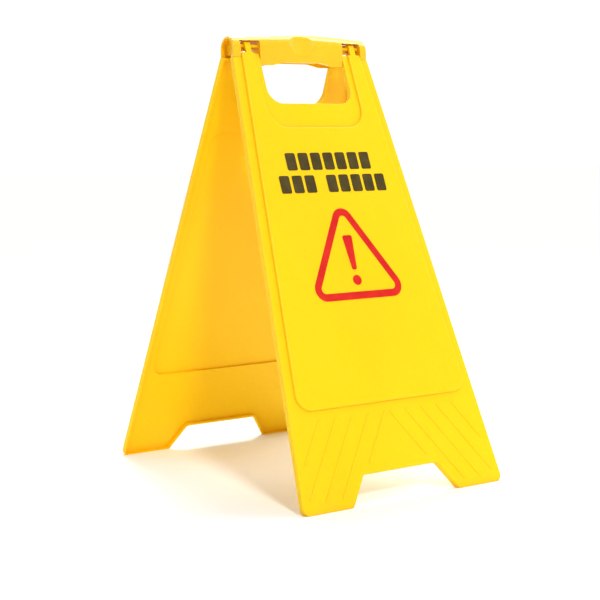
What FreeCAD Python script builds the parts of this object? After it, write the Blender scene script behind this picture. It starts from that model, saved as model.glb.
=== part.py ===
import FreeCAD, Part
import math
import os
import re
import Sketcher

# Folding floor sign: two identical moulded leaves clipped to four pins in a moulded handle.

doc = FreeCAD.newDocument("FloorSign")

# ---------------------------------------------------------------- driving sizes, mm and degrees
SIZES = [
    # leaves
    ("bottom_width", 305, "width of a leaf at its feet"),
    ("hinge_width", 206, "width its straight sides would have at the hinge pin"),
    ("leaf_length", 590, "hinge pin to feet, along the outer face"),
    ("lean_angle", 21.3, "how far each leaf leans from upright when open"),
    ("leaf_wall", 3, "thickness of the moulded sheet"),
    ("rim_depth", 7.5, "depth of the rim that stiffens every free edge"),
    ("face_offset", 3.1, "hinge pin to the outer face of the border"),
    ("border_top", 16.6, "hinge pin down to the top edge of the border"),
    ("notch_bottom", 162, "width of the notch between the feet, at the floor"),
    ("notch_top", 112, "width of the notch at its top"),
    ("notch_height", 37, "height of the notch along the leaf"),
    ("foot_round", 9, "corner radius of the feet"),
    ("notch_round", 6, "corner radius at the top of the notch"),
    ("shoulder_round", 3, "corner radius at the top of the border"),
    ("edge_round", 1.5, "radius that softens the outer edges of a leaf"),
    # raised panel
    ("panel_raise", 3, "how far the panel stands out from the border"),
    ("panel_border", 12, "width of the border beside the panel"),
    ("foot_border", 120, "lower edge of the panel to the feet"),
    ("panel_round", 20, "radius of the lower panel corners"),
    ("panel_edge", 2.6, "radius that softens the edge of the panel"),
    ("ear_top", 11, "hinge pin down to the top of the ears"),
    # hand opening and the recess around it
    ("opening_width", 129, "width of the hand opening"),
    ("opening_bottom", 78, "hinge pin to the lower edge of the opening"),
    ("opening_round", 20, "radius of its lower corners"),
    ("recess_width", 146, "width of the recess around the opening"),
    ("recess_bottom", 111, "hinge pin to the lower edge of the recess"),
    ("recess_round", 27, "radius of its lower corners"),
    # shallow ribs above the feet
    ("rib_pitch", 24.5, "spacing of the ribs across the leaf"),
    ("rib_first", 4, "middle of the leaf to the first rib at its top"),
    ("rib_width", 3.2, "width of a rib"),
    ("rib_height", 0.6, "height of a rib"),
    ("rib_gap", 12, "panel edge to the top of the ribs"),
    ("rib_margin", 12, "border kept clear round the ribs"),
    ("rib_edge", 0.4, "radius that softens the edges of the ribs"),
    # handle
    ("handle_length", 207, "length of the handle"),
    ("handle_radius", 16, "outer radius of its rounded top"),
    ("handle_wall", 3, "wall of the hollow handle"),
    ("handle_crown", 5, "rise of the middle above the ends"),
    ("grip_length", 128, "length of the deep middle part, the grip"),
    ("grip_drop", 19.5, "arch centre down to the lower edge of the grip"),
    ("skirt_drop", 10.1, "arch centre down to the lower edge of the end parts"),
    ("grip_cut_length", 92, "length of the shallow cut under the grip"),
    ("grip_cut_rise", 4, "height of that cut"),
    ("grip_cut_ramp", 18, "length of the slopes at its ends"),
    ("window_outer", 93, "middle of the handle to the outer edge of a window"),
    ("window_top", 11, "arch centre up to the top of the windows"),
    ("web_wall", 3, "thickness of the webs that hold the pins"),
    ("thumb_width", 40, "width of the thumb scoop"),
    ("thumb_depth", 3.5, "depth of the thumb scoop"),
    ("thumb_tilt", 15, "backward tilt of the thumb scoop"),
    ("handle_end_round", 1.5, "radius that softens the ends of the handle"),
    # hinges
    ("pin_offset", 7, "middle plane to each pin"),
    ("pin_rise", 4, "arch centre up to the pins"),
    ("pin_diameter", 5, "diameter of a hinge pin"),
    ("pin_clearance", 0.05, "radial clearance of a clip on its pin"),
    ("clip_middle", 81, "middle of the sign to the middle of a clip"),
    ("clip_width", 8, "width of a clip"),
    ("clip_mouth", 4.2, "mouth through which a clip snaps over its pin"),
    ("side_clearance", 0.6, "gap between an ear and the parts of the handle beside it"),
    # printing
    ("print_height", 0.3, "thickness of the printed layer"),
    ("line_one_middle", 158, "hinge pin to the middle of the first printed line"),
    ("line_two_middle", 188, "hinge pin to the middle of the second printed line"),
    ("block_height", 23, "height of a printed block"),
    ("block_width", 15, "width of a printed block"),
    ("block_pitch", 19, "spacing of the printed blocks"),
    ("block_round", 2.5, "corner radius of a printed block"),
    ("word_gap", 14, "extra gap between two words of blocks"),
    ("triangle_top", 206, "hinge pin to the apex that the outer sides point at"),
    ("triangle_bottom", 340, "hinge pin to the lower outer edge of the triangle"),
    ("triangle_width", 155, "outer width between the points that the sides meet at"),
    ("triangle_stroke", 9.5, "width of the triangle's line"),
    ("triangle_round", 15.5, "outer radius of the triangle's corners"),
    ("mark_top", 257, "hinge pin to the top of the exclamation mark"),
    ("mark_bottom", 302, "hinge pin to the lower end of its stroke"),
    ("mark_width", 15, "width of its stroke at the top"),
    ("mark_foot", 7, "width of its stroke at the bottom"),
    ("mark_round", 2.8, "corner radius of its stroke"),
    ("dot_middle", 315.5, "hinge pin to the middle of its dot"),
    ("dot_diameter", 13, "diameter of its dot"),
]

sheet = doc.addObject("Spreadsheet::Sheet", "Sizes")
for row, (alias, number, note) in enumerate(SIZES, start=1):
    sheet.set("A%d" % row, note)
    sheet.set("B%d" % row, str(number))
    sheet.setAlias("B%d" % row, alias)
doc.recompute()

ALIASES = re.compile(r"\b(%s)\b" % "|".join(alias for alias, number, note in SIZES))


def bound(text):
    """The expression text with every size read from the sheet."""
    return ALIASES.sub(r"Sizes.\1", text)


def value(text):
    return float(sheet.evalExpression(bound(text)))


# ---------------------------------------------------------------- sizes that follow from others
COS = "cos(lean_angle * 1deg)"
SIN = "sin(lean_angle * 1deg)"
PIN_HEIGHT = "(leaf_length * %s - face_offset * %s)" % (COS, SIN)
ARCH_HEIGHT = "(%s - pin_rise)" % PIN_HEIGHT
PANEL_FACE = "(face_offset + panel_raise)"
PANEL_BOTTOM = "(leaf_length - foot_border)"
SIDE_SLOPE = "((bottom_width - hinge_width) / 2 / leaf_length)"
TOP_SLANT = "(rim_depth * tan(lean_angle * 1deg))"
NOTCH_SLOPE = "((notch_bottom - notch_top) / 2 / notch_height)"
WINDOW_INNER = "(grip_length / 2)"
BEND = "((handle_length ^ 2 / 4 + handle_crown ^ 2) / (2 * handle_crown))"
RIBS_EACH_SIDE = 5
PAST = "2"  # how far a cut reaches past what it cuts
HAIR = "0.01"  # keeps a corner off its axis, where a distance of nothing can't be held


def side_at(down):
    """Half the width of a leaf at a distance below the pin."""
    return "(hinge_width / 2 + %s * (%s))" % (SIDE_SLOPE, down)


def notch_at(down):
    """Half the width of the notch at a distance below the pin."""
    return "(notch_top / 2 + %s * (%s - leaf_length + notch_height))" % (NOTCH_SLOPE, down)


def square_to(slope, size):
    """How far across a slanted edge moves when it is offset by a size."""
    return "(%s) * sqrt(1 + %s ^ 2)" % (size, slope)


def crown_at(across):
    """Height of the arch centre above its height at the ends, at a distance from the middle."""
    return "(handle_crown * (1 - (2 * (%s) / handle_length) ^ 2))" % across


# ---------------------------------------------------------------- modelling helpers
def bind(item, prop, text):
    item.setExpression(prop, bound(text))


def new_body(label):
    body = doc.addObject("PartDesign::Body", label)
    body.Label = label
    return body


def new_sketch(body, name, role, offset=None, tilt=None):
    """A sketch on one of the body's origin planes, moved along the plane's normal and tilted about its X."""
    sketch = body.newObject("Sketcher::SketchObject", name)
    plane = [item for item in body.Origin.OriginFeatures if item.Role == role]
    sketch.AttachmentSupport = [(plane[0], "")]
    sketch.MapMode = "FlatFace"
    if tilt:
        about_x = FreeCAD.Rotation(FreeCAD.Vector(1, 0, 0), 1)
        sketch.AttachmentOffset = FreeCAD.Placement(FreeCAD.Vector(), about_x)
        bind(sketch, ".AttachmentOffset.Rotation.Angle", tilt)
    if offset:
        bind(sketch, ".AttachmentOffset.Base.z", offset)
    return sketch


def fix_point(sketch, curve, end, across, up):
    """Holds one point of the sketch at distances from its origin."""
    for kind, text in (("DistanceX", across), ("DistanceY", up)):
        number = sketch.addConstraint(Sketcher.Constraint(kind, -1, 1, curve, end, value(text)))
        bind(sketch, "Constraints[%d]" % number, text)


def polygon(sketch, corners):
    """A closed outline of straight lines through corners, each an (across, up) pair of expressions."""
    places = [FreeCAD.Vector(value(across), value(up), 0) for across, up in corners]
    first = sketch.GeometryCount
    count = len(corners)
    for step in range(count):
        sketch.addGeometry(Part.LineSegment(places[step], places[(step + 1) % count]), False)
    for step in range(count):
        following = first + (step + 1) % count
        sketch.addConstraint(Sketcher.Constraint("Coincident", first + step, 2, following, 1))
        fix_point(sketch, first + step, 1, *corners[step])


def mirrored(half):
    """The right half of an outline, from top to bottom, and its mirror image."""
    return half + [("-(%s)" % across, up) for across, up in reversed(half)]


def circle(sketch, diameter, across="", up=""):
    centre = FreeCAD.Vector(value(across) if across else 0, value(up) if up else 0, 0)
    number = sketch.addGeometry(Part.Circle(centre, FreeCAD.Vector(0, 0, 1), value(diameter) / 2), False)
    size = sketch.addConstraint(Sketcher.Constraint("Diameter", number, value(diameter)))
    bind(sketch, "Constraints[%d]" % size, diameter)
    if across:
        fix_point(sketch, number, 3, across, up)
    elif up:
        sketch.addConstraint(Sketcher.Constraint("PointOnObject", number, 3, -2))
        height = sketch.addConstraint(Sketcher.Constraint("DistanceY", -1, 1, number, 3, value(up)))
        bind(sketch, "Constraints[%d]" % height, up)
    else:
        sketch.addConstraint(Sketcher.Constraint("Coincident", number, 3, -1, 1))


def arch(sketch, radius, centre, bottom):
    """A round-topped outline: half a circle above two straight sides."""
    around = value(radius)
    middle = value(centre)
    low = value(bottom)
    bow = Part.Circle(FreeCAD.Vector(0, middle, 0), FreeCAD.Vector(0, 0, 1), around)
    sketch.addGeometry(Part.ArcOfCircle(bow, 0, math.pi), False)
    corners = [(-around, middle), (-around, low), (around, low), (around, middle)]
    for start, stop in zip(corners, corners[1:]):
        sketch.addGeometry(Part.LineSegment(FreeCAD.Vector(*start, 0), FreeCAD.Vector(*stop, 0)), False)
    for joint in ((0, 2, 1, 1), (1, 2, 2, 1), (2, 2, 3, 1), (3, 2, 0, 1)):
        sketch.addConstraint(Sketcher.Constraint("Coincident", *joint))
    fix_point(sketch, 1, 1, "-(%s)" % radius, centre)
    fix_point(sketch, 2, 1, "-(%s)" % radius, bottom)
    fix_point(sketch, 3, 1, radius, bottom)
    fix_point(sketch, 0, 1, radius, centre)
    height = sketch.addConstraint(Sketcher.Constraint("DistanceY", -1, 1, 0, 3, middle))
    bind(sketch, "Constraints[%d]" % height, centre)


def extrude(kind, body, sketch, length=None, middle=False, backwards=False):
    """A pad or a pocket, with a check that it adds or removes material."""
    before = body.Shape.Volume if body.Tip else 0
    feature = body.newObject("PartDesign::" + kind, sketch.Name + kind)
    feature.Profile = sketch
    feature.Reversed = backwards
    if middle:
        feature.Midplane = True
    if length:
        bind(feature, "Length", length)
    else:
        feature.Type = "ThroughAll"
    sketch.Visibility = False
    doc.recompute()
    change = body.Shape.Volume - before
    if (change > 0) != (kind == "Pad") or abs(change) < 1e-3:
        raise RuntimeError("%s changed %s by %.3f" % (feature.Name, body.Label, change))
    return feature


def pad(body, sketch, length, **how):
    return extrude("Pad", body, sketch, length, **how)


def pocket(body, sketch, length=None, **how):
    return extrude("Pocket", body, sketch, length, **how)


def pick(shape, kind, test):
    """Names of the edges or faces of a shape that pass a test."""
    items = shape.Edges if kind == "Edge" else shape.Faces
    return ["%s%d" % (kind, number) for number, item in enumerate(items, start=1) if test(item)]


def dress(body, kind, name, size, names):
    """A fillet or chamfer on the named edges of the body's last feature."""
    if not names:
        raise RuntimeError("nothing to dress for " + name)
    base = body.Tip
    feature = body.newObject("PartDesign::" + kind, name)
    feature.Base = (base, names)
    bind(feature, {"Fillet": "Radius", "Chamfer": "Size"}[kind], size)
    doc.recompute()
    if feature.Shape.isNull() or not feature.Shape.isValid():
        raise RuntimeError(name + " failed")
    return feature


def along_z(edge):
    ends = edge.Vertexes
    if len(ends) != 2:
        return False
    gap = ends[1].Point - ends[0].Point
    return abs(gap.x) < 1e-6 and abs(gap.y) < 1e-6


def corner_edges(shape, corners, low=-1e9):
    """Upright edges of a shape that stand on the given (across, up) corners, above a height."""
    places = [(value(across), value(up)) for across, up in corners]

    def stands_on_corner(edge):
        if not along_z(edge) or min(v.Z for v in edge.Vertexes) < low - 1e-6:
            return False
        point = edge.Vertexes[0].Point
        return any(abs(point.x - x) < 1e-4 and abs(point.y - y) < 1e-4 for x, y in places)

    return pick(shape, "Edge", stands_on_corner)


def in_plane(edge, height):
    return all(abs(v.Z - height) < 1e-5 for v in edge.Vertexes)


def both_sides(corners):
    return corners + [("-(%s)" % across, up) for across, up in corners]


# ---------------------------------------------------------------- leaves
# A leaf is drawn flat: X across, Y up along the leaf from the hinge pin, Z out of its printed face.
def leaf_placement(item, side):
    """Stands a leaf, or what is printed on it, on the front (side -1) or the rear (side 1)."""
    facing = 0 if side < 0 else 180
    turn = "rotation(vector(0; 0; 1); %d) * rotation(vector(1; 0; 0); 90 - lean_angle)" % facing
    spot = "vector(0mm; 1mm * %d * pin_offset; 1mm * %s)" % (side, PIN_HEIGHT)
    bind(item, "Placement", "placement(%s; %s)" % (spot, turn))


def leaf_corners(inset):
    """Corners of the right half of a leaf, from the hand opening round to the notch, moved inwards."""
    top = "ear_top + %s" % inset
    shoulder = "border_top - %s + %s" % (TOP_SLANT, inset)
    ear = "window_outer - side_clearance - %s" % inset
    inner = "opening_width / 2 + %s" % inset
    sole = "leaf_length - %s" % inset
    bridge = "leaf_length - notch_height - %s" % inset
    outwards = square_to(SIDE_SLOPE, inset)
    inwards = square_to(NOTCH_SLOPE, inset)
    return {
        "opening": (inner, "-(opening_bottom + %s)" % inset),
        "ear_inner": (inner, "-(%s)" % top),
        "ear_outer": (ear, "-(%s)" % top),
        "ear_root": (ear, "-(%s)" % shoulder),
        "shoulder": ("%s - %s" % (side_at(shoulder), outwards), "-(%s)" % shoulder),
        "foot_outer": ("%s - %s" % (side_at(sole), outwards), "-(%s)" % sole),
        "foot_inner": ("%s + %s" % (notch_at(sole), inwards), "-(%s)" % sole),
        "notch": ("%s + %s" % (notch_at(bridge), inwards), "-(%s)" % bridge),
    }


def panel_corners(inset, top):
    """Corners of the right half of the raised panel, round the recess and down, moved inwards."""
    inner = "recess_width / 2 + %s" % inset
    side = "panel_border + %s" % square_to(SIDE_SLOPE, inset)
    low = "%s - %s" % (PANEL_BOTTOM, inset)
    return {
        "recess": (inner, "-(recess_bottom + %s)" % inset),
        "ear_inner": (inner, "-(%s)" % top),
        "ear_outer": ("%s - (%s)" % (side_at(top), side), "-(%s)" % top),
        "bottom": ("%s - (%s)" % (side_at(low), side), "-(%s)" % low),
    }


def round_corners(body, name, corners, keys, radius, low=-1e9):
    spots = both_sides([corners[key] for key in keys])
    dress(body, "Fillet", name, radius, corner_edges(body.Tip.Shape, spots, low))


def build_tray(body, name):
    """The flat sheet with its rim."""
    corners = leaf_corners("0")
    outline = new_sketch(body, name + "_outline", "XY_Plane", "face_offset")
    polygon(outline, mirrored(list(corners.values())))
    pad(body, outline, "rim_depth", backwards=True)
    round_corners(body, name + "_opening_corners", corners, ["opening"], "opening_round")
    round_corners(body, name + "_foot_corners", corners, ["foot_outer", "foot_inner"], "foot_round")
    round_corners(body, name + "_notch_corners", corners, ["notch"], "notch_round")
    round_corners(body, name + "_shoulders", corners, ["shoulder"], "shoulder_round")

    # the ears stay square, because the panel ends level with them
    face = value("face_offset")
    ears = value("border_top + shoulder_round")
    edges = pick(body.Tip.Shape, "Edge", lambda e: in_plane(e, face) and e.CenterOfMass.y < -ears)
    dress(body, "Fillet", name + "_outer_edge", "edge_round", edges)

    corners = leaf_corners("leaf_wall")
    inside = new_sketch(body, name + "_inside", "XY_Plane", "face_offset - leaf_wall")
    polygon(inside, mirrored(list(corners.values())))
    pocket(body, inside, "rim_depth - leaf_wall + %s" % PAST)
    round_corners(body, name + "_inner_opening", corners, ["opening"], "opening_round + leaf_wall")
    round_corners(body, name + "_inner_feet", corners, ["foot_outer", "foot_inner"], "foot_round - leaf_wall")
    round_corners(body, name + "_inner_notch", corners, ["notch"], "notch_round + leaf_wall")


def build_panel(body, name):
    """The raised panel, with the recess round the hand opening, hollow behind."""
    outer = value("face_offset")
    face = value(PANEL_FACE)
    low = value("face_offset - leaf_wall")
    corners = panel_corners("0", "ear_top")
    panel = new_sketch(body, name + "_panel", "XY_Plane", "face_offset")
    polygon(panel, mirrored(list(corners.values())))
    pad(body, panel, "panel_raise")

    # hollow behind, below the hand opening
    top = "recess_bottom + leaf_wall"
    inner = panel_corners("leaf_wall", top)
    inner["top"] = inner["ear_outer"]
    hollow = new_sketch(body, name + "_hollow", "XY_Plane", "face_offset + panel_raise - leaf_wall")
    polygon(hollow, mirrored([inner["top"], inner["bottom"]]))
    pocket(body, hollow, "panel_raise")
    round_corners(body, name + "_hollow_corners", inner, ["top", "bottom"], "panel_round - leaf_wall", low)

    round_corners(body, name + "_panel_corners", corners, ["bottom"], "panel_round", outer)
    round_corners(body, name + "_recess_corners", corners, ["recess"], "recess_round", outer)
    limit = -value("border_top")
    top = pick(body.Tip.Shape, "Edge", lambda e: in_plane(e, face) and e.CenterOfMass.y < limit)
    dress(body, "Fillet", name + "_panel_edge", "panel_edge", top)


def build_ribs(body, name):
    """Shallow ribs above the feet, parallel to the slanted sides of the notch."""
    start = "(%s + rib_gap)" % PANEL_BOTTOM
    spread = square_to(NOTCH_SLOPE, "rib_width / 2")
    sketch = new_sketch(body, name + "_ribs", "XY_Plane", "face_offset")
    for count in range(RIBS_EACH_SIDE):
        first = "(rib_first + %d * rib_pitch)" % count
        beside_notch = "(%s - %s)" % (first, notch_at(start))
        sole = "(leaf_length - rib_margin)"
        side = "((hinge_width / 2 - rib_margin - %s + %s * %s) / (%s - %s))" % (
            first, NOTCH_SLOPE, start, NOTCH_SLOPE, SIDE_SLOPE)
        bridge = "(%s < rib_margin ? leaf_length - notch_height - rib_margin : %s)" % (beside_notch, sole)
        end = "min(%s; %s; %s)" % (sole, side, bridge)
        last = "(%s + %s * (%s - %s))" % (first, NOTCH_SLOPE, end, start)
        for sign in ("", "-"):
            polygon(sketch, [("%s(%s - %s)" % (sign, first, spread), "-" + start),
                             ("%s(%s + %s)" % (sign, first, spread), "-" + start),
                             ("%s(%s + %s)" % (sign, last, spread), "-(%s)" % end),
                             ("%s(%s - %s)" % (sign, last, spread), "-(%s)" % end)])
    pad(body, sketch, "rib_height")
    face = value("face_offset + rib_height")
    top = pick(body.Tip.Shape, "Edge", lambda e: in_plane(e, face))
    dress(body, "Fillet", name + "_rib_edges", "rib_edge", top)


def level_cut(sketch, down, far):
    """Outlines what lies between a far edge and a level line, given where the line meets the outer face."""
    def level_at(out):
        return "-(%s + (%s) * tan(lean_angle * 1deg))" % (down, out)

    proud = "panel_raise + %s" % PAST
    deep = "-rim_depth - %s" % PAST
    polygon(sketch, [(level_at(proud), "face_offset + %s" % proud),
                     (level_at(deep), "face_offset %s" % deep),
                     (far, "face_offset %s" % deep),
                     (far, "face_offset + %s" % proud)])


def build_level_edges(body, name):
    """Cuts the feet level with the floor, and the shoulders level with the edge of the handle above them."""
    soles = new_sketch(body, name + "_floor", "YZ_Plane")
    level_cut(soles, "leaf_length", "-(leaf_length + rim_depth)")
    pocket(body, soles, middle=True)
    inner = "(window_outer - side_clearance)"
    outer = "(hinge_width / 2 + %s)" % PAST
    for hand, start in (("left", "-" + outer), ("right", inner)):
        top = new_sketch(body, "%s_%s_shoulder_top" % (name, hand), "YZ_Plane", start)
        level_cut(top, "border_top", "-(ear_top / 2)")
        pocket(body, top, "%s - %s" % (outer, inner), backwards=True)


def build_clip(body, name, middle):
    """A hook that snaps over a hinge pin, on the top of an ear."""
    start = "%s - clip_width / 2" % middle
    parts = []
    for part in ("ring", "tail", "bore", "mouth"):
        parts.append((part, new_sketch(body, "%s_%s" % (name, part), "YZ_Plane", start)))
    sketches = dict(parts)
    circle(sketches["ring"], "2 * %s" % PANEL_FACE)
    polygon(sketches["tail"], [("-(ear_top + leaf_wall)", "%s - leaf_wall" % PANEL_FACE),
                               ("-(ear_top + leaf_wall)", PANEL_FACE),
                               ("-" + HAIR, PANEL_FACE),
                               ("-" + HAIR, "%s - leaf_wall" % PANEL_FACE)])
    circle(sketches["bore"], "pin_diameter + 2 * pin_clearance")
    open_end = "-(%s + %s)" % (PANEL_FACE, PAST)
    polygon(sketches["mouth"], [(open_end, "-clip_mouth / 2"),
                                (open_end, "clip_mouth / 2"),
                                ("-pin_diameter / 4", "clip_mouth / 2"),
                                ("-pin_diameter / 4", "-clip_mouth / 2")])
    pad(body, sketches["ring"], "clip_width")
    pad(body, sketches["tail"], "clip_width")
    pocket(body, sketches["bore"], "clip_width", backwards=True)
    pocket(body, sketches["mouth"], "clip_width", backwards=True)


def build_leaf(label, side):
    body = new_body(label)
    build_tray(body, label)
    build_panel(body, label)
    build_ribs(body, label)
    build_level_edges(body, label)
    build_clip(body, label + "_left_clip", "-clip_middle")
    build_clip(body, label + "_right_clip", "clip_middle")
    leaf_placement(body, side)
    return body


# ---------------------------------------------------------------- handle and pins
# The handle is drawn about the middle of its arch: X along the hinge line, Z up.
def bow(kind, body, sketch):
    """Turns a section about a far axis below it, so that the middle of the handle stands higher."""
    axis = sketch.addGeometry(Part.LineSegment(FreeCAD.Vector(-1, -1, 0), FreeCAD.Vector(1, -1, 0)), True)
    height = "handle_crown - %s" % BEND
    fix_point(sketch, axis, 1, "-handle_radius", height)
    fix_point(sketch, axis, 2, "handle_radius", height)
    doc.recompute()
    before = body.Shape.Volume if body.Tip else 0
    feature = body.newObject("PartDesign::" + kind, sketch.Name + kind)
    feature.Profile = sketch
    feature.ReferenceAxis = (sketch, ["Axis0"])
    feature.Midplane = True
    bind(feature, "Angle", "2 * asin(handle_length / 2 / %s) + 1deg" % BEND)
    sketch.Visibility = False
    doc.recompute()
    change = body.Shape.Volume - before
    if (change > 0) != (kind == "Revolution") or abs(change) < 1e-3:
        raise RuntimeError("%s changed the handle by %.3f" % (feature.Name, change))


def build_handle():
    body = new_body("handle")
    shell = new_sketch(body, "handle_shell", "YZ_Plane")
    arch(shell, "handle_radius", "handle_crown", "-grip_drop")
    bow("Revolution", body, shell)
    bore = new_sketch(body, "handle_hollow", "YZ_Plane")
    arch(bore, "handle_radius - handle_wall", "handle_crown", "-(grip_drop + handle_radius)")
    bow("Groove", body, bore)

    # thicker wall behind the thumb scoops
    backing = new_sketch(body, "thumb_backing", "YZ_Plane")
    arch(backing, "handle_radius - handle_wall / 2", "handle_crown", "-grip_drop")
    pad(body, backing, "thumb_width + 2 * handle_wall", middle=True)
    relief = new_sketch(body, "thumb_relief", "YZ_Plane")
    arch(relief, "handle_radius - handle_wall - thumb_depth", "handle_crown", "-(grip_drop + handle_radius)")
    pocket(body, relief, "thumb_width + 2 * handle_wall", middle=True)

    # webs that hold the pins
    for name, start, low in (("grip", "%s - web_wall" % WINDOW_INNER, "grip_drop"),
                             ("end", "window_outer", "(skirt_drop - %s)" % TOP_SLANT)):
        for side, near in (("right", start), ("left", "-(%s + web_wall)" % start)):
            web = new_sketch(body, "%s_web_%s" % (side, name), "YZ_Plane", near)
            arch(web, "handle_radius - handle_wall / 2", crown_at("(%s) + web_wall / 2" % start), "-" + low)
            pad(body, web, "web_wall")

    # lower edges, windows and square ends
    under = new_sketch(body, "underside", "XZ_Plane")
    far = "(handle_length / 2 + 2 * handle_radius)"
    deep = "-(grip_drop + 2 * handle_radius)"
    polygon(under, mirrored([("grip_cut_length / 2 - grip_cut_ramp", "-(grip_drop - grip_cut_rise)"),
                             ("grip_cut_length / 2", "-grip_drop"),
                             (WINDOW_INNER, "-grip_drop"),
                             (WINDOW_INNER, "-skirt_drop"),
                             (far, "-skirt_drop"),
                             (far, deep)]))
    pocket(body, under, middle=True)
    windows = new_sketch(body, "windows", "XZ_Plane")
    ends = new_sketch(body, "square_ends", "XZ_Plane")
    for sign in ("", "-"):
        polygon(windows, [("%s%s" % (sign, WINDOW_INNER), "-(skirt_drop + %s)" % PAST),
                          ("%swindow_outer" % sign, "-(skirt_drop + %s)" % PAST),
                          ("%swindow_outer" % sign, "window_top"),
                          ("%s%s" % (sign, WINDOW_INNER), "window_top")])
        polygon(ends, [("%shandle_length / 2" % sign, deep),
                       ("%s(%s)" % (sign, far), deep),
                       ("%s(%s)" % (sign, far), "2 * handle_radius"),
                       ("%shandle_length / 2" % sign, "2 * handle_radius")])
    pocket(body, windows, middle=True)
    pocket(body, ends, middle=True)

    # holes for the pins
    holes = new_sketch(body, "pin_holes", "YZ_Plane")
    circle(holes, "pin_diameter", "pin_offset", "pin_rise")
    circle(holes, "pin_diameter", "-pin_offset", "pin_rise")
    pocket(body, holes, middle=True)

    # thumb scoops in the front and the rear
    hollow_radius = "((thumb_width ^ 2 / 4 + thumb_depth ^ 2) / (2 * thumb_depth))"
    reach = "(handle_radius - thumb_depth + %s)" % hollow_radius
    for name, sign in (("front", "-"), ("rear", "")):
        scoop = new_sketch(body, name + "_thumb_scoop", "XY_Plane", tilt="%sthumb_tilt" % sign)
        centre = "%s(handle_crown * sin(thumb_tilt * 1deg) + %s)" % (sign, reach)
        circle(scoop, "2 * %s" % hollow_radius, up=centre)
        pocket(body, scoop, middle=True)

    # softened ends
    end = value("handle_length / 2")
    wall_middle = value("handle_radius - handle_wall / 2")

    def round_the_end(edge):
        spots = [vertex.Point for vertex in edge.Vertexes]
        return all(abs(abs(spot.x) - end) < 1e-5 and abs(spot.y) > wall_middle for spot in spots)

    dress(body, "Fillet", "handle_end_round", "handle_end_round", pick(body.Tip.Shape, "Edge", round_the_end))
    lift = "vector(0mm; 0mm; 1mm * %s)" % ARCH_HEIGHT
    bind(body, "Placement", "placement(%s; rotation(vector(0; 0; 1); 0))" % lift)
    return body


def build_pin(label, side, hand):
    pin = doc.addObject("Part::Cylinder", label)
    pin.Label = label
    start = "(%s - web_wall)" % WINDOW_INNER
    length = "(window_outer + web_wall - %s)" % start
    bind(pin, "Radius", "pin_diameter / 2")
    bind(pin, "Height", length)
    across = start if hand > 0 else "-(%s + %s)" % (start, length)
    bind(pin, "Placement", "placement(vector(1mm * %s; 1mm * %d * pin_offset; 1mm * %s); "
                           "rotation(vector(0; 1; 0); 90))" % (across, side, PIN_HEIGHT))
    return pin


# ---------------------------------------------------------------- printing
def printed(body, name, outlines):
    sketch = new_sketch(body, name, "XY_Plane", PANEL_FACE)
    for corners in outlines:
        polygon(sketch, corners)
    pad(body, sketch, "print_height")


def block_row(label, side, middle, words):
    """A row of rounded blocks, one for each letter of its words."""
    body = new_body(label)
    letters = sum(words)
    width = "((%d - 1) * block_pitch + block_width + %d * word_gap)" % (letters, len(words) - 1)
    outlines = []
    place = 0
    for word, count in enumerate(words):
        for letter in range(count):
            left = "(%d * block_pitch + %d * word_gap - %s / 2)" % (place, word, width)
            right = "(%s + block_width)" % left
            top = "-(%s - block_height / 2)" % middle
            bottom = "-(%s + block_height / 2)" % middle
            outlines.append([(left, top), (left, bottom), (right, bottom), (right, top)])
            place += 1
    printed(body, label + "_blocks", outlines)
    dress(body, "Fillet", label + "_corners", "block_round", pick(body.Tip.Shape, "Edge", along_z))
    leaf_placement(body, side)
    return body


def warning_triangle(label, side):
    body = new_body(label)
    flare = "(triangle_width / 2 / (triangle_bottom - triangle_top))"
    printed(body, label + "_outside", [[(HAIR, "-triangle_top"),
                                        ("triangle_width / 2", "-triangle_bottom"),
                                        ("-triangle_width / 2", "-triangle_bottom")]])
    dress(body, "Fillet", label + "_round", "triangle_round", pick(body.Tip.Shape, "Edge", along_z))
    apex = "(triangle_top + triangle_stroke * sqrt(1 + 1 / %s ^ 2))" % flare
    half = "(%s * (triangle_bottom - triangle_stroke - %s))" % (flare, apex)
    corners = [(HAIR, "-%s" % apex),
               (half, "-(triangle_bottom - triangle_stroke)"),
               ("-%s" % half, "-(triangle_bottom - triangle_stroke)")]
    inside = new_sketch(body, label + "_inside", "XY_Plane", PANEL_FACE + " + print_height")
    polygon(inside, corners)
    pocket(body, inside, "print_height")
    dress(body, "Fillet", label + "_inner_round", "triangle_round - triangle_stroke",
          corner_edges(body.Tip.Shape, corners))
    leaf_placement(body, side)
    return body


def exclamation_mark(label, side):
    body = new_body(label)
    printed(body, label + "_stroke", [[("mark_width / 2", "-mark_top"),
                                       ("mark_foot / 2", "-mark_bottom"),
                                       ("-mark_foot / 2", "-mark_bottom"),
                                       ("-mark_width / 2", "-mark_top")]])
    dress(body, "Fillet", label + "_corners", "mark_round", pick(body.Tip.Shape, "Edge", along_z))
    dot = new_sketch(body, label + "_dot", "XY_Plane", PANEL_FACE)
    circle(dot, "dot_diameter", up="-dot_middle")
    pad(body, dot, "print_height")
    leaf_placement(body, side)
    return body


# ---------------------------------------------------------------- the sign
nodes = [build_handle()]
for place, side in (("front", -1), ("rear", 1)):
    for hand, sign in (("left", -1), ("right", 1)):
        nodes.append(build_pin("hinge_pin_%s_%s" % (place, hand), side, sign))
    nodes.append(build_leaf(place + "_leaf", side))
    nodes.append(block_row(place + "_print_line_one", side, "line_one_middle", [7]))
    nodes.append(block_row(place + "_print_line_two", side, "line_two_middle", [3, 5]))
    nodes.append(warning_triangle(place + "_warning_triangle", side))
    nodes.append(exclamation_mark(place + "_exclamation_mark", side))
doc.recompute()

for item in doc.Objects:
    if "Invalid" in item.State or "Error" in item.State:
        raise RuntimeError("%s did not rebuild: %s" % (item.Name, item.getStatusString()))

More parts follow.
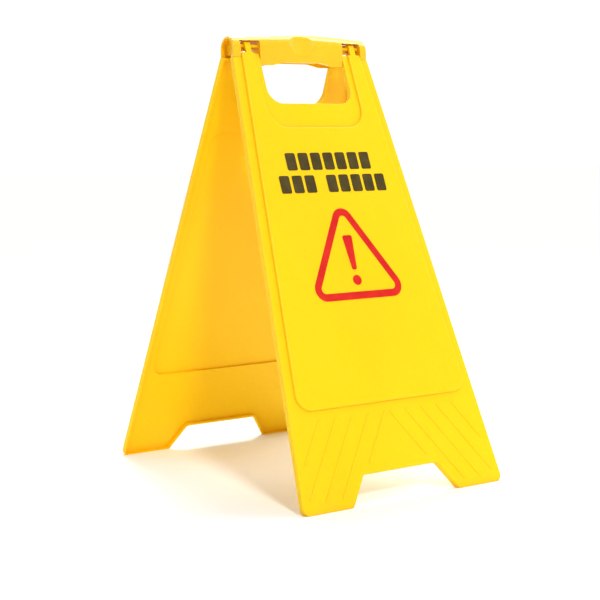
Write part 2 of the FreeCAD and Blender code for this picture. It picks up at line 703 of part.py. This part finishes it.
os.makedirs("parts", exist_ok=True)
for node in nodes:
    if node.Shape.isNull() or not node.Shape.isValid():
        raise RuntimeError(node.Label + " has no valid shape")
    node.Shape.exportStep("parts/%s.step" % node.Label)
    box = node.Shape.BoundBox
    print("%-26s %2d solid %10.1f mm3  x %7.1f %7.1f  y %7.1f %7.1f  z %7.1f %7.1f" % (
        node.Label, len(node.Shape.Solids), node.Shape.Volume,
        box.XMin, box.XMax, box.YMin, box.YMax, box.ZMin, box.ZMax))
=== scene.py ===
import math

import bpy
from mathutils import Euler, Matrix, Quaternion, Vector

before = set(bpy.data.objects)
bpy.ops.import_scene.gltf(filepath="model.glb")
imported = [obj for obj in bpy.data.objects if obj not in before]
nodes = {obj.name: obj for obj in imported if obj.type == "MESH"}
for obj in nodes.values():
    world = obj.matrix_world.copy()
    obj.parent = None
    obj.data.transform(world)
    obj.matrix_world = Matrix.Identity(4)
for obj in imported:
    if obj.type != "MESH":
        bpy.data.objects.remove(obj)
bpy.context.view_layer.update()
print("loaded", len(nodes), "nodes of the sign")

bpy.context.scene.view_settings.view_transform = "Standard"
bpy.context.scene.view_settings.look = "None"
bpy.context.scene.view_settings.exposure = 0.0
bpy.context.scene.view_settings.gamma = 1.0

# camera, set up by eye level and lens
camera = {
    "place": (-1.0691, -1.5509, 0.4134),
    "lens": 86.57,
    "turn": 34.61,  # from looking straight along Y, to the right
    "tilt": 5.79,  # downwards
    "roll": 0.96,
}


def addCamera(facts):
    data = bpy.data.cameras.new("camera")
    data.lens = facts["lens"]
    data.sensor_width = 36.0
    data.clip_end = 50.0
    data.dof.use_dof = False
    eye = bpy.data.objects.new("camera", data)
    bpy.context.scene.collection.objects.link(eye)
    eye.location = facts["place"]
    level = Euler((math.radians(90.0 - facts["tilt"]), 0.0, -math.radians(facts["turn"]))).to_quaternion()
    eye.rotation_mode = "QUATERNION"
    eye.rotation_quaternion = level @ Quaternion((0.0, 0.0, 1.0), -math.radians(facts["roll"]))
    bpy.context.scene.camera = eye


addCamera(camera)
print("camera set")

# lights and floor
studio = {
    "dim": (0.52, 0.52, 0.53),  # the room in front of the sign
    "bright": (1.12, 1.12, 1.11),  # the white wall behind it
    "wallTowards": (0.57, 0.82, 0.10),
    "floor": (0.95, 0.95, 0.94),
    "floorSize": 60.0,
    "sun": {"towards": (-0.17, -0.74, 0.66), "strength": 1.6, "spread": 9.0, "colour": (1.0, 0.99, 0.96)},
    "lamps": [
        # name, place, size, power, colour
        ("behind", (0.62, 1.05, 1.95), 0.9, 30.0, (1.0, 1.0, 1.0)),
        ("above", (1.02, -0.05, 2.04), 0.8, 10.0, (1.0, 1.0, 1.0)),
    ],
}


def aim(obj, target):
    obj.rotation_euler = (Vector(target) - obj.location).to_track_quat("-Z", "Y").to_euler()


def addLamp(name, place, size, power, colour):
    data = bpy.data.lights.new(name, "AREA")
    data.shape = "DISK"
    data.size = size
    data.energy = power
    data.color = colour
    lamp = bpy.data.objects.new(name, data)
    bpy.context.scene.collection.objects.link(lamp)
    lamp.location = place
    aim(lamp, (0.0, 0.0, 0.28))


def addSun(facts):
    data = bpy.data.lights.new("sun", "SUN")
    data.energy = facts["strength"]
    data.angle = math.radians(facts["spread"])
    data.color = facts["colour"]
    lamp = bpy.data.objects.new("sun", data)
    bpy.context.scene.collection.objects.link(lamp)
    lamp.location = Vector(facts["towards"]) * 3.0
    aim(lamp, (0.0, 0.0, 0.0))


def addRoom(facts):
    world = bpy.data.worlds.new("studio")
    bpy.context.scene.world = world
    world.use_nodes = True
    tree = world.node_tree
    direction = tree.nodes.new("ShaderNodeTexCoord")
    towards = tree.nodes.new("ShaderNodeVectorMath")
    towards.operation = "DOT_PRODUCT"
    towards.inputs[1].default_value = Vector(facts["wallTowards"]).normalized()
    tree.links.new(direction.outputs["Generated"], towards.inputs[0])
    tone = ramp(tree, fromTo(tree, towards.outputs["Value"], -1.0, 1.0, 0.0, 1.0),
                [(0.45, facts["dim"]), (0.85, facts["bright"])])
    tree.links.new(tone, tree.nodes["Background"].inputs["Color"])


def paperMaterial(colour):
    material, tree, shader = newMaterial("pale_paper")
    grain = noise(tree, coordinates(tree), 40.0, 3.0)
    tint = ramp(tree, grain, [(0.3, shade(colour, 0.985)), (0.7, colour)])
    tree.links.new(tint, shader.inputs["Base Color"])
    shader.inputs["Roughness"].default_value = 0.9
    bump(tree, shader, noise(tree, coordinates(tree), 300.0, 4.0), 0.05, 0.001)
    return material


# node helpers for the materials
def newMaterial(name):
    material = bpy.data.materials.new(name)
    material.use_nodes = True
    tree = material.node_tree
    return material, tree, tree.nodes["Principled BSDF"]


def shade(colour, factor):
    return tuple(min(1.0, channel * factor) for channel in colour[:3])


def coordinates(tree, scale=(1.0, 1.0, 1.0)):
    place = tree.nodes.new("ShaderNodeTexCoord")
    mapping = tree.nodes.new("ShaderNodeMapping")
    mapping.inputs["Scale"].default_value = scale
    tree.links.new(place.outputs["Object"], mapping.inputs["Vector"])
    return mapping.outputs["Vector"]


def noise(tree, vector, scale, detail, roughness=0.5, distortion=0.0):
    node = tree.nodes.new("ShaderNodeTexNoise")
    node.inputs["Scale"].default_value = scale
    node.inputs["Detail"].default_value = detail
    node.inputs["Roughness"].default_value = roughness
    node.inputs["Distortion"].default_value = distortion
    tree.links.new(vector, node.inputs["Vector"])
    return node.outputs["Fac"]


def ramp(tree, value, stops):
    node = tree.nodes.new("ShaderNodeValToRGB")
    node.color_ramp.elements[0].position = stops[0][0]
    node.color_ramp.elements[0].color = (*stops[0][1][:3], 1.0)
    node.color_ramp.elements[1].position = stops[-1][0]
    node.color_ramp.elements[1].color = (*stops[-1][1][:3], 1.0)
    for position, colour in stops[1:-1]:
        element = node.color_ramp.elements.new(position)
        element.color = (*colour[:3], 1.0)
    tree.links.new(value, node.inputs["Fac"])
    return node.outputs["Color"]


def mixColour(tree, kind, factor, first, second):
    node = tree.nodes.new("ShaderNodeMix")
    node.data_type = "RGBA"
    node.blend_type = kind
    for socket, item in ((node.inputs[0], factor), (node.inputs[6], first), (node.inputs[7], second)):
        if isinstance(item, (int, float)):
            socket.default_value = item
        elif isinstance(item, tuple):
            socket.default_value = (*item[:3], 1.0)
        else:
            tree.links.new(item, socket)
    return node.outputs[2]


def fromTo(tree, value, fromLow, fromHigh, toLow, toHigh):
    node = tree.nodes.new("ShaderNodeMapRange")
    node.inputs["From Min"].default_value = fromLow
    node.inputs["From Max"].default_value = fromHigh
    node.inputs["To Min"].default_value = toLow
    node.inputs["To Max"].default_value = toHigh
    tree.links.new(value, node.inputs["Value"])
    return node.outputs["Result"]


def maths(tree, kind, first, second):
    node = tree.nodes.new("ShaderNodeMath")
    node.operation = kind
    for socket, item in zip(node.inputs, (first, second)):
        if isinstance(item, (int, float)):
            socket.default_value = item
        else:
            tree.links.new(item, socket)
    return node.outputs["Value"]


# painted shade: how hemmed in a point is, from an occlusion node, used to darken the colour in grooves and
# creases
def creaseShadeMask(tree, distance):
    node = tree.nodes.new("ShaderNodeAmbientOcclusion")
    node.inputs["Distance"].default_value = distance
    node.samples = 8
    return fromTo(tree, node.outputs["AO"], 1.0, 0.45, 0.0, 1.0)


def bump(tree, shader, height, strength, distance):
    node = tree.nodes.new("ShaderNodeBump")
    node.inputs["Strength"].default_value = strength
    node.inputs["Distance"].default_value = distance
    tree.links.new(height, node.inputs["Height"])
    tree.links.new(node.outputs["Normal"], shader.inputs["Normal"])
    return node


# yellow polypropylene, a little clear, with moulding flow, grain, scuffs and dull feet
yellow = {
    "base": (0.95, 0.61, 0.003),
    "pale": (0.96, 0.65, 0.005),
    "deep": (0.94, 0.57, 0.002),
    "scuff": (0.90, 0.66, 0.10),
    "dirt": (0.62, 0.42, 0.06),
    # painted shade in grooves and creases: its colour, reach and amount
    "creaseShadeColour": (0.78, 0.36, 0.003),
    "creaseShadeReach": 0.013,
    "creaseShadeMix": 0.45,
    "flowScale": 3.2,
    "mottleScale": 210.0,
    "grainScale": 950.0,
    "peelScale": 130.0,
    "peelHeight": 0.6,
    "reliefStrength": 0.22,
    "reliefDepth": 0.0006,
    "scratchScale": 26.0,
    "scratchAlong": (1.0, 1.0, 22.0),
    "scratchAcross": (17.0, 5.0, 1.0),
    "scratchMix": 0.35,
    "wornScale": 7.0,
    "wetHeight": 0.045,
    "speckScale": 85.0,
    "dirtMix": 0.22,
    "hazeScale": 18.0,
    "refraction": 1.49,
    "subsurface": 0.22,
    "subsurfaceRadius": (1.0, 0.55, 0.06),
    "subsurfaceScale": 0.004,
}


# the handle gets a darker, more orange copy of the same yellow: painted shade for the lower light on the
# grip
shadedHandleYellow = dict(yellow, base=(0.95, 0.55, 0.002), pale=(0.96, 0.59, 0.003), deep=(0.94, 0.51, 0.002))

# the leaves are dull; the handle is polished by hands
mouldings = {
    "leaf_front": {"plastic": yellow, "roughness": 0.36, "grain": 0.5, "gloss": 0.2, "polish": 0.0},
    "leaf_rear": {"plastic": yellow, "roughness": 0.36, "grain": 0.5, "gloss": 0.2, "polish": 0.0},
    # the handle's plastic is the darker copy of the yellow, painted shade
    "handle": {"plastic": shadedHandleYellow, "roughness": 0.24, "grain": 0.12, "gloss": 0.35, "polish": 0.5},
    "pin": {"plastic": yellow, "roughness": 0.33, "grain": 0.2, "gloss": 0.3, "polish": 0.0},
}
patternShift = {"leaf_front": 0.0, "leaf_rear": 0.7, "handle": 1.3, "pin": 2.1}  # so no two wear alike
polishRoughness = 0.2


def scratchMask(tree, place, facts, shift):
    # fine lines in two directions, only in worn patches
    along = noise(tree, coordinates(tree, facts["scratchAlong"]), facts["scratchScale"], 5.0, 0.62, 0.2)
    across = noise(tree, coordinates(tree, facts["scratchAcross"]), facts["scratchScale"], 5.0, 0.6, 0.3)
    lines = maths(tree, "MAXIMUM", fromTo(tree, along, 0.66, 0.72, 0.0, 1.0),
                  fromTo(tree, across, 0.67, 0.73, 0.0, 1.0))
    worn = fromTo(tree, noise(tree, place, facts["wornScale"] + shift, 2.0), 0.46, 0.68, 0.0, 1.0)
    return maths(tree, "MULTIPLY", lines, worn)


def wetMask(tree, place, facts):
    # the feet stand in mop water and get dull
    split = tree.nodes.new("ShaderNodeSeparateXYZ")
    tree.links.new(place, split.inputs["Vector"])
    nearFloor = fromTo(tree, split.outputs["Z"], facts["wetHeight"], 0.0, 0.0, 1.0)
    specks = fromTo(tree, noise(tree, place, facts["speckScale"], 6.0, 0.65), 0.5, 0.68, 0.0, 1.0)
    return maths(tree, "MULTIPLY", nearFloor, specks)


def plasticMaterial(name, moulding, shift):
    material, tree, shader = newMaterial(name)
    facts = moulding["plastic"]
    place = coordinates(tree)
    scratches = scratchMask(tree, place, facts, shift)
    dull = wetMask(tree, place, facts)

    # slow changes of tone from the way the melt flowed, and a fine mottle
    flow = noise(tree, coordinates(tree, (1.0, 1.0, 0.45)), facts["flowScale"] + shift, 3.0, 0.55, 0.6)
    tone = ramp(tree, flow, [(0.25, facts["deep"]), (0.5, facts["base"]), (0.78, facts["pale"])])
    mottle = ramp(tree, noise(tree, place, facts["mottleScale"], 3.0),
                  [(0.3, (0.95, 0.94, 0.9)), (0.7, (1.0, 1.0, 1.0))])
    tone = mixColour(tree, "MULTIPLY", 0.5, tone, mottle)

    # scuffs, dirt at the feet, and painted shade darkening the grooves and creases
    paintedCreaseShade = creaseShadeMask(tree, facts["creaseShadeReach"])
    for mask, amount, colour in ((scratches, facts["scratchMix"], facts["scuff"]),
                                 (dull, facts["dirtMix"], facts["dirt"]),
                                 (paintedCreaseShade, facts["creaseShadeMix"], facts["creaseShadeColour"])):
        tone = mixColour(tree, "MIX", maths(tree, "MULTIPLY", mask, amount), tone, colour)
    tree.links.new(tone, shader.inputs["Base Color"])

    # roughness
    haze = fromTo(tree, noise(tree, place, facts["hazeScale"], 4.0, 0.6), 0.3, 0.7,
                  moulding["roughness"] - 0.05, moulding["roughness"] + 0.07)
    haze = maths(tree, "ADD", haze, maths(tree, "MULTIPLY", scratches, 0.22))
    haze = maths(tree, "ADD", haze, maths(tree, "MULTIPLY", dull, 0.2))
    tree.links.new(haze, shader.inputs["Roughness"])

    # relief: moulded grain, orange peel and the scratches
    fine = maths(tree, "MULTIPLY", noise(tree, place, facts["grainScale"], 2.0), moulding["grain"])
    peel = maths(tree, "MULTIPLY", noise(tree, place, facts["peelScale"], 2.0), facts["peelHeight"])
    height = maths(tree, "SUBTRACT", maths(tree, "ADD", fine, peel), maths(tree, "MULTIPLY", scratches, 0.5))
    bump(tree, shader, height, facts["reliefStrength"], facts["reliefDepth"])

    shader.inputs["Specular IOR Level"].default_value = moulding["gloss"]
    shader.inputs["IOR"].default_value = facts["refraction"]
    shader.inputs["Coat Weight"].default_value = moulding["polish"]
    shader.inputs["Coat Roughness"].default_value = polishRoughness
    shader.inputs["Subsurface Weight"].default_value = facts["subsurface"]
    shader.inputs["Subsurface Radius"].default_value = facts["subsurfaceRadius"]
    shader.inputs["Subsurface Scale"].default_value = facts["subsurfaceScale"]
    return material


# printed inks: a thin screen-printed film with a faint mesh, pinholes and a slightly uneven tone
inks = {
    "dark": {"film": (0.050, 0.034, 0.004), "thin": (0.085, 0.060, 0.010), "roughness": 0.5},
    "red": {"film": (0.60, 0.008, 0.007), "thin": (0.70, 0.022, 0.010), "roughness": 0.46},
}


def inkMaterial(name, facts, under):
    material, tree, shader = newMaterial(name)
    place = coordinates(tree)
    cover = noise(tree, place, 60.0, 5.0, 0.6)
    tone = ramp(tree, cover, [(0.35, facts["film"]), (0.72, facts["thin"])])
    holes = fromTo(tree, noise(tree, place, 1500.0, 2.0), 0.73, 0.77, 0.0, 0.35)
    tone = mixColour(tree, "MIX", holes, tone, under)
    tree.links.new(tone, shader.inputs["Base Color"])
    tree.links.new(fromTo(tree, cover, 0.3, 0.7, facts["roughness"] - 0.05, facts["roughness"] + 0.08),
                   shader.inputs["Roughness"])
    bump(tree, shader, noise(tree, place, 2200.0, 2.0), 0.12, 0.0002)
    shader.inputs["Specular IOR Level"].default_value = 0.2
    return material


def dress(name, material):
    for slot in nodes[name].material_slots:
        slot.material = material


plastics = {}
for name, moulding in mouldings.items():
    plastics[name] = plasticMaterial(name + "_plastic", moulding, patternShift[name])
prints = {}
for name, facts in inks.items():
    prints[name] = inkMaterial(name + "_ink", facts, yellow["base"])

for name in nodes:
    side = name.split("_")[0]
    if name.endswith("_leaf"):
        dress(name, plastics["leaf_" + side])
    elif name == "handle":
        dress(name, plastics["handle"])
    elif name.startswith("hinge_pin"):
        dress(name, plastics["pin"])
    elif name.endswith("_warning_triangle") or name.endswith("_exclamation_mark"):
        dress(name, prints["red"])
    else:
        dress(name, prints["dark"])
print("materials on every node")

# the floor
bpy.ops.object.select_all(action="DESELECT")
bpy.ops.mesh.primitive_plane_add(size=studio["floorSize"], location=(0.0, 0.0, 0.0))
floor = bpy.context.object
floor.name = "floor"
floor.data.materials.append(paperMaterial(studio["floor"]))

addRoom(studio)
addSun(studio["sun"])
for lamp in studio["lamps"]:
    addLamp(*lamp)
print("floor and lights placed")
